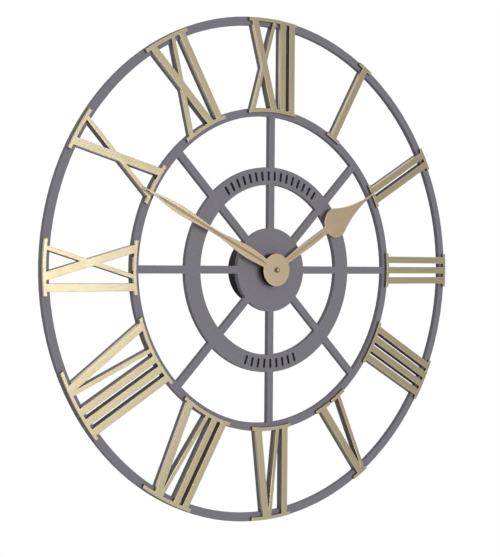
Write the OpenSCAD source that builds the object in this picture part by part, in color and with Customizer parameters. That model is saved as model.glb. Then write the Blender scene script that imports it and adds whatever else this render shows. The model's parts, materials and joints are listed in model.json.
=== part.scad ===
// Round skeleton wall clock: a cut frame plate with raised Roman numerals, two hands
// and a battery quartz movement in a drum that stands the dial off the wall.
// The front faces -Y and Z points up. The wall is the plane Y = 0, and the origin is the centre of the
// hanger's keyhole on that plane. Each module is drawn about the hand axis and then hung from the keyhole.

/* [Dial frame] */
// Overall diameter of the dial frame
dial_d = 610; // [560:5:720]
// Thickness of the frame plate
frame_t = 6; // [4:0.5:10]
// Width of the outer ring
outer_ring_w = 10; // [8:0.5:14]
// Outer radius of the middle ring
middle_ring_r = 196.5; // [180:0.5:205]
// Width of the middle ring
middle_ring_w = 10; // [8:0.5:14]
// Outer radius of the inner band
band_r = 125; // [115:0.5:135]
// Width of the inner band
band_w = 21.5; // [18:0.5:26]
// Radius of the hub disc
hub_disc_r = 51; // [46:0.5:60]
// Width of a spoke
spoke_w = 9.3; // [6:0.1:14]
// Number of spokes
spoke_count = 8; // [4:4:12]

/* [Pierced slots in the inner band] */
// Width of a slot
slot_w = 3; // [2:0.1:4]
// Length of a slot along the radius
slot_l = 11.5; // [8:0.5:14]
// Number of slots in the upper row
upper_slots = 16; // [8:1:18]
// Number of slots in the lower row
lower_slots = 9; // [3:1:12]
// Angle from one slot to the next, in degrees
slot_step = 4.7; // [4:0.1:6]

/* [Numerals] */
// Thickness of a numeral plate
numeral_t = 4.2; // [2:0.1:6]
// Width of an I stroke
stem_w = 8.8; // [6:0.1:10]
// Width of the thick stroke of an X or a V, measured across the numeral
thick_w = 9.3; // [7:0.1:11]
// Width of the thin stroke of an X or a V, measured across the numeral
thin_w = 5; // [3:0.1:6]
// Distance from one I to the next
stem_pitch = 13.8; // [12:0.1:16]
// Distance from one I to the next in the four
four_pitch = 13.4; // [12:0.1:16]
// Distance from an X to the I after it
cross_pitch = 28.4; // [26:0.1:31]
// Distance from an I to the X after it
before_cross_pitch = 27.1; // [26:0.1:31]
// Distance from a V to the I after it
vee_pitch = 26.2; // [24.5:0.1:29]
// Half the spread of the thick stroke of an X between its ends
cross_thick_spread = 15.8; // [13:0.1:17]
// Half the spread of the thin stroke of an X between its ends
cross_thin_spread = 16.4; // [13:0.1:18]
// Distance of the thick stroke's open end from the middle of a V
vee_thick_spread = 14.5; // [12:0.1:16]
// Distance of the thin stroke's open end from the middle of a V
vee_thin_spread = 15.1; // [12:0.1:17]
// Distance of the thick stroke's other end from the middle of a V
vee_thick_point = 1.7; // [0.5:0.1:4]
// Distance of the thin stroke's other end from the middle of a V
vee_thin_point = 3; // [0.5:0.1:4]
// Thickness of a serif bar, along the radius
serif_t = 4; // [3:0.1:6]
// Distance of a serif bar from the outer edge of the ring that carries it
serif_inset = 1; // [0.5:0.1:2.5]
// Reach of a serif bar past the outermost stroke
serif_over = 4.5; // [2:0.1:8]
// The same for the one and the five
narrow_over = 7; // [4:0.1:8]
// The same for the twelve
twelve_over = 2.3; // [1:0.1:6]
// Half the length of the short serif at the point of a lone V
vee_serif_half = 12.3; // [9:0.1:14]
// Distance of that serif, clockwise, from the middle of the V
vee_serif_shift = 3; // [0:0.1:4]
// Gap between the two feet serifs of a lone V
vee_foot_gap = 3; // [1:0.1:6]
// Distance of the twelve, clockwise, from the middle of its place
twelve_shift = -1.9; // [-5:0.1:5]
// Distance of the one, clockwise, from the middle of its place
one_shift = -0.9; // [-5:0.1:5]
// Distance of the two, clockwise, from the middle of its place
two_shift = -0.7; // [-5:0.1:5]
// Distance of the three, clockwise, from the middle of its place
three_shift = -0.3; // [-5:0.1:5]
// Distance of the four, clockwise, from the middle of its place
four_shift = -1.5; // [-5:0.1:5]
// Distance of the five, clockwise, from the middle of its place
five_shift = 1.7; // [-5:0.1:5]
// Distance of the six, clockwise, from the middle of its place
six_shift = 0; // [-5:0.1:5]
// Distance of the seven, clockwise, from the middle of its place
seven_shift = -0.9; // [-5:0.1:5]
// Distance of the eight, clockwise, from the middle of its place
eight_shift = 3; // [-5:0.1:5]
// Distance of the nine, clockwise, from the middle of its place
nine_shift = 1.9; // [-5:0.1:5]
// Distance of the ten, clockwise, from the middle of its place
ten_shift = -0.9; // [-5:0.1:5]
// Distance of the eleven, clockwise, from the middle of its place
eleven_shift = -3.5; // [-5:0.1:5]

/* [Hands] */
// Direction of the minute hand, in degrees clockwise from twelve
minute_angle = 296; // [0:0.1:359.9]
// Direction of the hour hand, in degrees clockwise from twelve
hour_angle = 58.3; // [0:0.1:359.9]
// Radius of the round eye of each hand
eye_r = 20; // [16:0.5:24]
// Length of the minute hand from the hand axis
minute_hand_l = 211; // [180:1:230]
// Greatest width of the minute hand's blade
minute_blade_w = 14.4; // [10:0.1:17]
// Thickness of the minute hand's eye
minute_hand_t = 2; // [1.6:0.1:2.4]
// Length of the hour hand from the hand axis
hour_hand_l = 195; // [180:1:210]
// Greatest width of the hour hand's shaft
hour_shaft_w = 10.6; // [7:0.1:13]
// Radius of the hour hand's spade
spade_r = 18.5; // [14:0.5:22]
// Distance of the spade's centre from the hand axis
spade_at = 114.5; // [105:0.5:125]
// Depth of the turned-back rim of the hour hand's eye
hour_eye_depth = 3.6; // [2.5:0.1:4]
// Thickness of the sheet of both hands
hand_sheet_t = 1.2; // [1:0.1:1.5]
// Width of the crease along the middle of each hand
crease_w = 3.2; // [2:0.1:4]
// Depth of the crease
crease_depth = 0.5; // [0.3:0.05:0.7]
// Free space between the two hands
hand_gap = 1; // [0.6:0.1:1.5]
// Distance from the frame's face to the back of the hour hand's eye
hour_standoff = 4.9; // [4.7:0.1:6]

/* [Drum and hanger] */
// Outer radius of the drum
drum_r = 42; // [41.8:0.1:46]
// Depth of the drum, from the wall to the frame
drum_depth = 26; // [25:0.5:32]
// Wall of the drum
drum_wall = 2; // [1.5:0.1:2.2]
// Thickness of the hanger plate
hanger_t = 1.2; // [0.8:0.1:2]
// Width of the hanger plate
hanger_w = 31; // [28:0.5:32]
// Height of the hanger plate
hanger_h = 15; // [14:0.5:15]
// Radius of the hanger's keyhole, for a screw head
keyhole_r = 4; // [3:0.1:4.5]
// Width of the keyhole's slot, for a screw shank
keyhole_slot_w = 3.6; // [2.5:0.1:4]
// Height of the keyhole's centre above the hand axis
keyhole_z = 29; // [28.5:0.1:29.5]

/* [Movement] */
// Width and height of the movement's case
case_w = 56; // [55:0.5:58]
// Depth of the case without its back cover
case_depth = 14.5; // [14.4:0.1:16]
// Side wall of the case
case_wall = 1.5; // [1:0.1:1.8]
// Front wall of the case
case_front_t = 1.6; // [1.5:0.1:2]
// Thickness of the back cover
cover_t = 1.5; // [1.4:0.1:2]
// Corner radius of the case
case_corner_r = 3; // [2:0.5:5]
// Outer radius of the threaded bushing
bushing_r = 4; // [3.8:0.1:4.5]
// Length of the bushing in front of the frame plate
bushing_out = 4.2; // [3.8:0.1:4.4]
// Thickness of the rubber gasket
gasket_t = 1; // [0.5:0.1:1.5]
// Radius of the rubber gasket
gasket_r = 14; // [10:0.5:20]
// Thickness of the brass washer
washer_t = 0.8; // [0.5:0.1:1]
// Radius of the brass washer
washer_r = 8; // [7:0.5:10]
// Thickness of the hex nut
nut_t = 2.6; // [2:0.1:2.8]
// Width of the hex nut across its flats
nut_flats = 13; // [11:0.5:14]
// Outer radius of the hour wheel's pipe
hour_pipe_r = 2.5; // [2.4:0.05:2.6]
// Radius of the minute arbor
arbor_r = 1.7; // [1.5:0.05:1.75]
// Radius of the time setting knob
knob_r = 5.5; // [4:0.1:6]
// Thickness of the time setting knob
knob_t = 2.6; // [2:0.1:4]
// Number of grip notches around the knob
knob_grips = 12; // [8:1:16]

/* [Battery] */
// Diameter of the battery
battery_d = 14.2; // [13.5:0.1:14.4]
// Length of the battery with its nub
battery_l = 50.5; // [49.5:0.1:51]

/* [Gear train] */
// Tooth size of the cannon pinion, motion wheel and knob pinion
motion_size = 0.5; // [0.48:0.01:0.52]
// Tooth size of the centre wheel and third pinion
centre_size = 0.3; // [0.29:0.01:0.31]
// Tooth size of the third wheel, seconds wheel and their pinions
third_size = 0.25; // [0.24:0.01:0.26]
// Tooth size of the intermediate wheel and rotor pinion
fast_size = 0.2; // [0.19:0.01:0.21]
// Thickness of a wheel
wheel_t = 1; // [0.6:0.05:1.1]
// Distance from one layer of wheels to the next
layer_pitch = 1.55; // [1.5:0.01:1.58]
// Radius of a wheel's pivots
pivot_r = 0.5; // [0.4:0.05:0.6]
// Radius of the rotor magnet
magnet_r = 3; // [2.5:0.1:3.2]

/* [Hidden] */
$fn = 96;

// Words of the dial, clockwise from twelve
NUMERALS = ["XII", "I", "II", "III", "IIII", "V", "VI", "VII", "VIII", "IX", "X", "XI"];

// Colours
gold = [0.78, 0.70, 0.52];
grey = [0.46, 0.45, 0.49];
black = [0.05, 0.05, 0.055];
brass = [0.80, 0.66, 0.35];
steel = [0.70, 0.70, 0.72];
ivory = [0.88, 0.86, 0.78];
copper = [0.72, 0.42, 0.25];
green = [0.10, 0.35, 0.20];

// Named clearances, and the overrun of a cut
overrun = 1;
running_fit = 0.05;
push_fit = 0.02;
end_play = 0.3;
air_gap = 0.6;
loose_fit = 0.3;

// Depths along Y, from the wall to the front
dial_r = dial_d / 2;
frame_back = -drum_depth;
frame_face = frame_back - frame_t;
drum_floor = frame_back + drum_wall;
case_face = drum_floor + gasket_t;
case_inside = case_face + case_front_t;
case_back = case_face + case_depth;
cover_back = case_back + cover_t;
bushing_tip = frame_face - bushing_out;
hour_eye_back = frame_face - hour_standoff;
hour_face = hour_eye_back - hour_eye_depth;
minute_back = hour_face - hand_gap;
minute_face = minute_back - minute_hand_t;
pipe_tip = hour_face - hand_gap / 2;

// Numeral plates
NUMERAL_SHIFTS = [twelve_shift, one_shift, two_shift, three_shift, four_shift, five_shift,
    six_shift, seven_shift, eight_shift, nine_shift, ten_shift, eleven_shift];
outer_serif_r = dial_r - serif_inset;
inner_serif_r = middle_ring_r - serif_inset;
numeral_foot_r = inner_serif_r - serif_t;
ring_mid_r = middle_ring_r - middle_ring_w / 2;

// Hands: half-widths as shares of the greatest, and places as shares of the blade's length
blade_shares = [[0.72, 0], [1, 0.19], [0.4, 0.445], [0.76, 0.71], [0.055, 1]];
shaft_shares = [[0.66, 0], [1, 0.66], [0.9, 1]];
blade_steps = 6;
crease_lead = 12;
crease_from = 16;
minute_crease_to = 190;
spade_lap = 3;
spade_shoulder_share = 0.16;
spade_bend_shares = [[0.82, 0.66], [0.065, 1.74]];
spade_tip_share = 0.03;
spade_steps = 14;
nut_hex_r = 3.3;
nut_front_t = 2.4;
thread_r = 1.2;
tenon_r = 1.45;
tip_out = 0.7;
hour_collar_r = 4;

// Drum and hanger
post_r = 2.6;
post_at = [11.5, 32];
screw_head_r = 2;
screw_head_t = 0.5;
screw_r = 1.1;
screw_l = 6;
screw_gap = 0.5;
hanger_z = 30;
hanger_corner_r = 3.5;
slot_top = 35.2;

// Movement
bushing_bore = hour_pipe_r + running_fit;
flange_r = 6;
flange_t = 0.8;
hole_r = bushing_r + loose_fit;
bay_wall = 1;
bay_top = -case_w / 2 + case_wall + battery_d + 3 * loose_fit;
bay_bottom = -case_w / 2 + case_wall;
battery_at = [case_inside + loose_fit / 2 + battery_d / 2, (bay_top + bay_bottom) / 2];
nub_r = 2.6;
nub_l = 1.3;
contact_t = 0.5;
contact_w = 9;
case_in = case_w / 2 - case_wall;
spring_l = 2 * case_in - 2 * contact_t - battery_l;
spring_r = 3.2;
pivot_l = 0.9;
rear_pivot_r = 0.8;
board_w = 7;
board_l = 30;
board_t = 1;
board_x = -case_in + loose_fit + board_w / 2;
board_low = bay_top + 2 * bay_wall;
chip_share = 0.3;
chip_r = 2.4;
chip_t = 0.8;
crystal_r = 1;
crystal_l = 6;
solder_share = 0.64;
solder_r = 0.7;
solder_t = 0.5;

// Tooth counts. The motion work gives the hour hand one turn in twelve, and the train turns the rotor
// 1800 times for each turn of the minute hand, which is half a turn in each second.
cannon_teeth = 12;
motion_teeth = 36;
motion_pinion_teeth = 10;
hour_teeth = 40;
centre_teeth = 64;
third_teeth = 60;
small_pinion_teeth = 8;
seconds_teeth = 50;
fast_pinion_teeth = 10;
intermediate_teeth = 60;

// Tooth form: heights in tooth sizes, and half widths as shares of the tooth pitch
wheel_top_share = 0.9;
wheel_root_share = 1.2;
leaf_top_share = 0.7;
leaf_root_share = 1.25;
tooth_shares = [0.29, 0.10];
leaf_shares = [0.27, 0.11];

// Places of the arbors, seen from the front, from the tooth counts and tooth sizes
motion_gap = (cannon_teeth + motion_teeth) * motion_size / 2;
hour_size = 2 * motion_gap / (hour_teeth + motion_pinion_teeth);
centre_gap = (centre_teeth + small_pinion_teeth) * centre_size / 2;
third_gap = (third_teeth + small_pinion_teeth) * third_size / 2;
seconds_gap = (seconds_teeth + fast_pinion_teeth) * third_size / 2;
rotor_gap = (intermediate_teeth + fast_pinion_teeth) * fast_size / 2;
motion_dir = 0;
knob_dir = 60;
third_dir = 180;
seconds_dir = 100;
intermediate_dir = 45;
rotor_dir = 5;
motion_at = motion_gap * [cos(motion_dir), sin(motion_dir)];
knob_at = motion_at + motion_gap * [cos(knob_dir), sin(knob_dir)];
third_at = centre_gap * [cos(third_dir), sin(third_dir)];
seconds_at = third_at + third_gap * [cos(seconds_dir), sin(seconds_dir)];
intermediate_at = seconds_at + seconds_gap * [cos(intermediate_dir), sin(intermediate_dir)];
rotor_at = intermediate_at + rotor_gap * [cos(rotor_dir), sin(rotor_dir)];

grip_share = 0.125;

// Motor
magnet_t = 2.4;
rotor_hole_r = magnet_r + air_gap;
stator_t = 1;
stator_rim_share = 0.12;
stator_half = rotor_hole_r + stator_rim_share * magnet_r;
stator_leg_w = 3.6;
stator_reach = [-10, 16];
coil_r = 2.8;
coil_core_w = 3;
coil_flange_t = 0.6;
coil_at = case_in - coil_r - loose_fit;
coil_span = [stator_reach[0] + stator_leg_w, stator_reach[1] - stator_leg_w];
coil_l = coil_span[1] - coil_span[0];

// Front face of a layer of wheels, counted from the front of the case
function layer(k) = case_inside + end_play + k * layer_pitch;

// Place and turn helpers
module facing(back, thick) {
    translate([0, back, 0]) rotate([90, 0, 0]) linear_extrude(thick) children();
}

module round_bar(back, front, r) {
    translate([0, back, 0]) rotate([90, 0, 0]) cylinder(h = back - front, r = r);
}

module at_spot(spot) {
    translate([spot[0], 0, spot[1]]) children();
}

// Hang a piece drawn about the hand axis from the keyhole
module hung() {
    translate([0, 0, -keyhole_z]) children();
}

module clockwise(angle) {
    rotate([0, angle, 0]) children();
}

module ring(outer, inner) {
    difference() {
        circle(r = outer);
        circle(r = inner);
    }
}

module upright_box(low, high) {
    translate(low) square(high - low);
}

module soft_square(half_w, half_h, r) {
    upright_box([-half_w, r - half_h], [half_w, half_h - r]);
    upright_box([r - half_w, -half_h], [half_w - r, half_h]);
    for (x = [-1, 1], y = [-1, 1])
        translate([x * (half_w - r), y * (half_h - r)]) circle(r = r);
}

// Numerals, drawn as the dial shows them at twelve
function cross_strokes() = [
    [-cross_thick_spread, cross_thick_spread, thick_w],
    [cross_thin_spread, -cross_thin_spread, thin_w]
];

function vee_strokes() = [
    [-vee_thick_spread, -vee_thick_point, thick_w],
    [vee_thin_spread, vee_thin_point, thin_w]
];

function glyph_strokes(g) = g == "X" ? cross_strokes() : g == "V" ? vee_strokes() : [[0, 0, stem_w]];

function glyph_half(g) =
    g == "X" ? cross_thick_spread + thick_w / 2
    : g == "V" ? vee_thick_spread + thick_w / 2
    : stem_w / 2;

function glyph_gap(word, k) =
    word[k] == "X" ? before_cross_pitch
    : word[k - 1] == "X" ? cross_pitch
    : word[k - 1] == "V" ? vee_pitch
    : word == "IIII" ? four_pitch
    : stem_pitch;

function glyph_x(word, k) = k == 0 ? 0 : glyph_x(word, k - 1) + glyph_gap(word, k);

function word_right(word) = glyph_x(word, len(word) - 1) + glyph_half(word[len(word) - 1]);

function word_mid(word) = (word_right(word) - glyph_half(word[0])) / 2;

function word_half(word) = (word_right(word) + glyph_half(word[0])) / 2;

// The numerals from four to eight stand with their feet on the outer ring
function feet_outward(hour) = hour >= 4 && hour <= 8;

module leaning_bar(inner_x, outer_x, w) {
    low = numeral_foot_r - serif_t;
    lean = (outer_x - inner_x) / (outer_serif_r - numeral_foot_r);
    low_x = inner_x - lean * serif_t;
    polygon([[low_x - w / 2, low], [low_x + w / 2, low],
        [outer_x + w / 2, outer_serif_r], [outer_x - w / 2, outer_serif_r]]);
}

module strokes(hour) {
    word = NUMERALS[hour];
    for (k = [0 : len(word) - 1], s = glyph_strokes(word[k])) {
        x = glyph_x(word, k) - word_mid(word);
        translate([NUMERAL_SHIFTS[hour], 0])
            if (feet_outward(hour))
                leaning_bar(-x - s[0], -x - s[1], s[2]);
            else
                leaning_bar(x + s[1], x + s[0], s[2]);
    }
}

module serif_bar(outer, from, to) {
    intersection() {
        ring(outer, outer - serif_t);
        upright_box([from, 0], [to, dial_r]);
    }
}

function serif_reach(word) =
    word == "XII" ? twelve_over : word == "I" || word == "V" ? narrow_over : serif_over;

module numeral_outline(hour) {
    word = NUMERALS[hour];
    mid = NUMERAL_SHIFTS[hour];
    half = word_half(word) + serif_reach(word);
    outer_mid = word == "V" ? mid + vee_serif_shift : mid;
    outer_half = word == "V" ? vee_serif_half : half;
    intersection() {
        ring(outer_serif_r, numeral_foot_r);
        strokes(hour);
    }
    serif_bar(outer_serif_r, outer_mid - outer_half, outer_mid + outer_half);
    difference() {
        serif_bar(inner_serif_r, mid - half, mid + half);
        if (word == "V")
            upright_box([mid - vee_foot_gap / 2, 0], [mid + vee_foot_gap / 2, dial_r]);
    }
}

module numeral(hour) {
    hung() color(gold) facing(frame_face, numeral_t) rotate(-30 * hour) numeral_outline(hour);
}

// One plate carries the rings, the spokes, the hub disc and a back for every numeral
module slot_row(count) {
    for (k = [0 : count - 1])
        rotate((k - (count - 1) / 2) * slot_step) translate([0, band_r - band_w / 2]) {
            square([slot_w, slot_l - slot_w], center = true);
            for (side = [-1, 1])
                translate([0, side * (slot_l - slot_w) / 2]) circle(r = slot_w / 2, $fn = 24);
        }
}

module frame_outline() {
    difference() {
        union() {
            ring(dial_r, dial_r - outer_ring_w);
            ring(middle_ring_r, middle_ring_r - middle_ring_w);
            ring(band_r, band_r - band_w);
            circle(r = hub_disc_r);
            for (k = [0 : spoke_count - 1])
                rotate(k * 360 / spoke_count)
                    upright_box([-spoke_w / 2, hub_disc_r / 2], [spoke_w / 2, ring_mid_r]);
            for (hour = [0 : len(NUMERALS) - 1])
                rotate(-30 * hour) intersection() {
                    ring(dial_r - outer_ring_w / 2, ring_mid_r);
                    strokes(hour);
                }
        }
        circle(r = hole_r);
        slot_row(upper_slots);
        rotate(180) slot_row(lower_slots);
    }
}

module frame() {
    hung() color(grey) facing(frame_back, frame_t) frame_outline();
}

// Hands, drawn pointing at twelve
function mirrored(half) = concat(half, [for (k = [len(half) - 1 : -1 : 0]) [-half[k][0], half[k][1]]]);

function ease(t) = t * t * (3 - 2 * t);

// Shares between two knots, with a half-width that eases from one to the next
function eased(a, b) = [
    for (k = [1 : blade_steps])
        let (t = k / blade_steps) [a[0] + (b[0] - a[0]) * ease(t), a[1] + (b[1] - a[1]) * t]
];

function along(knots, w, from, to) = [
    for (s = concat([knots[0]], [for (k = [1 : len(knots) - 1]) each eased(knots[k - 1], knots[k])]))
        [s[0] * w / 2, from + s[1] * (to - from)]
];

function bezier(a, b, c, d, t) =
    pow(1 - t, 3) * a + 3 * pow(1 - t, 2) * t * b + 3 * (1 - t) * t * t * c + pow(t, 3) * d;

// A crease is sunk to one depth, and runs out to nothing at both ends of its length
module crease_cut(bottom, high, tilt) {
    wide = high * crease_w / crease_depth / 2;
    translate([0, bottom, 0]) rotate([-tilt, 0, 0]) linear_extrude(dial_r)
        polygon([[0, 0], [-wide, -high], [wide, -high]]);
}

module crease(face, from, to) {
    tilt = atan(crease_depth / crease_lead);
    end_high = (to - from) * crease_depth / crease_lead + overrun;
    intersection() {
        translate([0, 0, from]) crease_cut(face + crease_depth, crease_depth + overrun, 0);
        translate([0, 0, from]) crease_cut(face, end_high, tilt);
        translate([0, 0, to]) mirror([0, 0, 1]) crease_cut(face, end_high, tilt);
    }
}

module minute_hand() {
    blade = mirrored(along(blade_shares, minute_blade_w, eye_r / 2, minute_hand_l));
    hung() color(gold) clockwise(minute_angle) difference() {
        union() {
            round_bar(minute_back, minute_face, eye_r);
            facing(minute_face + hand_sheet_t, hand_sheet_t) polygon(blade);
        }
        round_bar(minute_back + overrun, minute_face - overrun, tenon_r + push_fit);
        crease(minute_face, crease_from, minute_crease_to);
    }
}

module hour_hand() {
    neck = spade_at - spade_r;
    shaft = mirrored(along(shaft_shares, hour_shaft_w, eye_r / 2, neck + spade_lap));
    shoulder = [spade_r, spade_at + spade_shoulder_share * spade_r];
    bends = [for (s = spade_bend_shares) [s[0] * spade_r, spade_at + s[1] * spade_r]];
    tip = [spade_tip_share * spade_r, hour_hand_l];
    taper = [for (k = [0 : spade_steps]) bezier(shoulder, bends[0], bends[1], tip, k / spade_steps)];
    hung() color(gold) clockwise(hour_angle) difference() {
        union() {
            round_bar(hour_eye_back, hour_face, eye_r);
            facing(hour_face + hand_sheet_t, hand_sheet_t) union() {
                polygon(shaft);
                translate([0, spade_at]) circle(r = spade_r);
                polygon(mirrored(concat([[spade_r, spade_at]], taper)));
            }
        }
        difference() {
            round_bar(hour_eye_back + overrun, hour_face + hand_sheet_t, eye_r - hand_sheet_t);
            round_bar(hour_eye_back + overrun, hour_face, hour_collar_r);
        }
        round_bar(hour_eye_back + overrun, hour_face - overrun, hour_pipe_r + push_fit);
        crease(hour_face, crease_from, neck);
    }
}

module hand_nut() {
    hung() color(gold) difference() {
        facing(minute_face, nut_front_t) circle(r = nut_hex_r, $fn = 6);
        round_bar(minute_face + overrun, minute_face - nut_front_t - overrun, thread_r + push_fit);
    }
}

// What clamps the movement to the frame
module washer() {
    hung() color(brass) facing(frame_face, washer_t) ring(washer_r, hole_r);
}

module hex_nut() {
    hung() color(brass) difference() {
        facing(frame_face - washer_t, nut_t) circle(r = nut_flats / 2 / cos(30), $fn = 6);
        round_bar(frame_face, bushing_tip, bushing_r + push_fit);
    }
}

module gasket() {
    hung() color(black) facing(case_face, gasket_t) ring(gasket_r, hole_r);
}

module bushing() {
    hung() color(brass) difference() {
        union() {
            round_bar(case_inside, bushing_tip, bushing_r);
            round_bar(case_inside, case_inside - flange_t, flange_r);
        }
        round_bar(case_inside + overrun, bushing_tip - overrun, bushing_bore);
    }
}

// Drum that stands the dial off the wall, open at the back
module drum() {
    hung() color(black) difference() {
        union() {
            difference() {
                round_bar(0, frame_back, drum_r);
                round_bar(overrun, drum_floor, drum_r - drum_wall);
            }
            for (side = [-1, 1])
                at_spot([side * post_at[0], post_at[1]]) round_bar(-hanger_t, frame_back, post_r);
        }
        round_bar(overrun, frame_back - overrun, hole_r);
        for (side = [-1, 1])
            at_spot([side * post_at[0], post_at[1]])
                round_bar(overrun, -hanger_t - screw_l, screw_r);
    }
}

module hanger_plate() {
    hung() color(steel) difference() {
        facing(0, hanger_t) difference() {
            translate([0, hanger_z]) soft_square(hanger_w / 2, hanger_h / 2, hanger_corner_r);
            translate([0, keyhole_z]) circle(r = keyhole_r);
            upright_box([-keyhole_slot_w / 2, keyhole_z], [keyhole_slot_w / 2, slot_top]);
        }
        for (side = [-1, 1])
            at_spot([side * post_at[0], post_at[1]]) {
                round_bar(overrun, -hanger_t - overrun, screw_r + push_fit);
                round_bar(overrun, -screw_head_t, screw_head_r + push_fit);
            }
    }
}

module hanger_screws() {
    hung() color(steel) for (side = [-1, 1])
        at_spot([side * post_at[0], post_at[1]]) {
            round_bar(0, -screw_head_t, screw_head_r);
            round_bar(0, screw_gap - hanger_t - screw_l, screw_r - push_fit);
        }
}

// Case of the movement, open at the back, with a bay for the battery along its lower side
module case_inner(grow) {
    soft_square(case_in + grow, case_in + grow, case_corner_r - case_wall + grow);
}

module train_pivots(back, front) {
    for (spot = [motion_at, third_at, seconds_at, intermediate_at, rotor_at, knob_at])
        at_spot(spot) round_bar(back, front, pivot_r + running_fit);
}

module movement_case() {
    hung() color(ivory) difference() {
        union() {
            difference() {
                facing(case_back, case_depth) case_inner(case_wall);
                facing(case_back + overrun, case_depth + overrun - case_front_t) case_inner(0);
            }
            facing(case_back, case_depth)
                upright_box([-case_in, bay_top], [case_in, bay_top + bay_wall]);
        }
        round_bar(case_inside + overrun, case_face - overrun, bushing_r + push_fit);
        round_bar(case_inside + overrun, case_inside - flange_t, flange_r + push_fit);
        train_pivots(case_inside + overrun, case_inside - pivot_l - end_play / 2);
    }
}

module back_cover() {
    blind = case_back + pivot_l + end_play / 2;
    hung() color(ivory) difference() {
        facing(cover_back, cover_t) intersection() {
            case_inner(case_wall);
            upright_box([-case_w, bay_top], [case_w, case_w]);
        }
        for (spot = [motion_at, third_at, seconds_at, intermediate_at, rotor_at])
            at_spot(spot) round_bar(blind, case_back - overrun, pivot_r + running_fit);
        round_bar(blind, case_back - overrun, rear_pivot_r + running_fit);
        at_spot(knob_at) round_bar(cover_back + overrun, case_back - overrun, thread_r + running_fit);
    }
}

// Battery, lying across the bay, and the metal strips at its ends
module battery() {
    left = -case_in + contact_t + spring_l;
    hung() color(steel) translate([left, battery_at[0], battery_at[1]]) rotate([0, 90, 0]) {
        cylinder(h = battery_l - nub_l, r = battery_d / 2);
        cylinder(h = battery_l, r = nub_r);
    }
}

module battery_contacts() {
    strip = [contact_t, contact_w, contact_w];
    hung() color(steel) translate([0, battery_at[0], battery_at[1]]) {
        translate([-case_in, -contact_w / 2, -contact_w / 2]) cube(strip);
        translate([-case_in + contact_t, 0, 0]) rotate([0, 90, 0]) cylinder(h = spring_l, r = spring_r);
        translate([case_in - contact_t, -contact_w / 2, -contact_w / 2]) cube(strip);
    }
}

// Circuit board with its sealed chip, and the crystal can that keeps the rate
module circuit_board() {
    board_back = case_inside + board_t;
    hung() color(green) {
        facing(board_back, board_t)
            upright_box([board_x - board_w / 2, board_low], [board_x + board_w / 2, board_low + board_l]);
        at_spot([board_x, board_low + chip_share * board_l])
            round_bar(board_back + chip_t, board_back, chip_r);
        for (side = [-1, 1])
            at_spot([board_x + side * crystal_r, board_low + solder_share * board_l])
                round_bar(board_back + solder_t, board_back, solder_r);
    }
}

module quartz_crystal() {
    low = board_low + solder_share * board_l + 2 * solder_r;
    hung() color(steel) translate([board_x, case_inside + board_t + crystal_r, low])
        cylinder(h = crystal_l, r = crystal_r);
}

// Stepping motor: coil, stator and rotor
module coil() {
    core_back = layer(6);
    core_half = coil_core_w / 2;
    hung() color(copper) {
        facing(core_back, stator_t)
            upright_box([stator_reach[0], coil_at - core_half], [stator_reach[1], coil_at + core_half]);
        translate([coil_span[0], core_back - stator_t / 2, coil_at]) rotate([0, 90, 0]) {
            cylinder(h = coil_flange_t, r = coil_r);
            cylinder(h = coil_l, r = coil_r - coil_flange_t);
            translate([0, 0, coil_l - coil_flange_t]) cylinder(h = coil_flange_t, r = coil_r);
        }
    }
}

module stator() {
    top = coil_at + coil_core_w / 2;
    high = rotor_at[1] + stator_half;
    low = rotor_at[1] - stator_half;
    hung() color(steel) facing(layer(6) + stator_t, stator_t) difference() {
        union() {
            upright_box([rotor_at[0] - rotor_hole_r - stator_t, low], [stator_reach[1], high]);
            upright_box([stator_reach[0], high - stator_leg_w / 2], [rotor_at[0], high]);
            upright_box([stator_reach[0], high - stator_leg_w / 2], [stator_reach[0] + stator_leg_w, top]);
            upright_box([stator_reach[1] - stator_leg_w, low], [stator_reach[1], top]);
        }
        translate(rotor_at) circle(r = rotor_hole_r);
    }
}

// Gears: a tooth points along +X before the turn
function tooth(top, root, shares) =
    [[-shares[0], -root], [-shares[1], top], [shares[1], top], [shares[0], -root]];

function gear_points(teeth, size, top, root, shares) = [
    for (t = [0 : teeth - 1], p = tooth(top, root, shares))
        let (r = size * (teeth / 2 + p[1]), a = (t + p[0]) * 360 / teeth) [r * cos(a), r * sin(a)]
];

module toothed(k, teeth, size, turn) {
    facing(layer(k) + wheel_t, wheel_t) rotate(turn)
        polygon(gear_points(teeth, size, wheel_top_share, wheel_root_share, tooth_shares));
}

module leaved(k, teeth, size, turn, thick = layer_pitch) {
    facing(layer(k) + thick, thick) rotate(turn)
        polygon(gear_points(teeth, size, leaf_top_share, leaf_root_share, leaf_shares));
}

// Turn of a gear that meets, with a gap between two teeth, a tooth that points at it along dir
function meet_turn(dir, teeth) = dir + 180 + 180 / teeth;

// The same for a gear of another turn before it
function mesh_turn(dir, turn, before, teeth) = meet_turn(dir, teeth) - (turn - dir) * before / teeth;

// An arbor with a pivot at each end, inside its pinion and wheel
module arbor(from_layer, to_layer) {
    round_bar(case_back + pivot_l, case_inside - pivot_l, pivot_r);
    round_bar(layer(to_layer) + wheel_t, layer(from_layer), pivot_r + running_fit);
}

module third_wheel() {
    hung() color(brass) at_spot(third_at) {
        arbor(2, 3);
        leaved(2, small_pinion_teeth, centre_size, meet_turn(third_dir, small_pinion_teeth));
        toothed(3, third_teeth, third_size, seconds_dir);
    }
}

module seconds_wheel() {
    hung() color(brass) at_spot(seconds_at) {
        arbor(3, 4);
        leaved(3, small_pinion_teeth, third_size, meet_turn(seconds_dir, small_pinion_teeth));
        toothed(4, seconds_teeth, third_size, intermediate_dir);
    }
}

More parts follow.
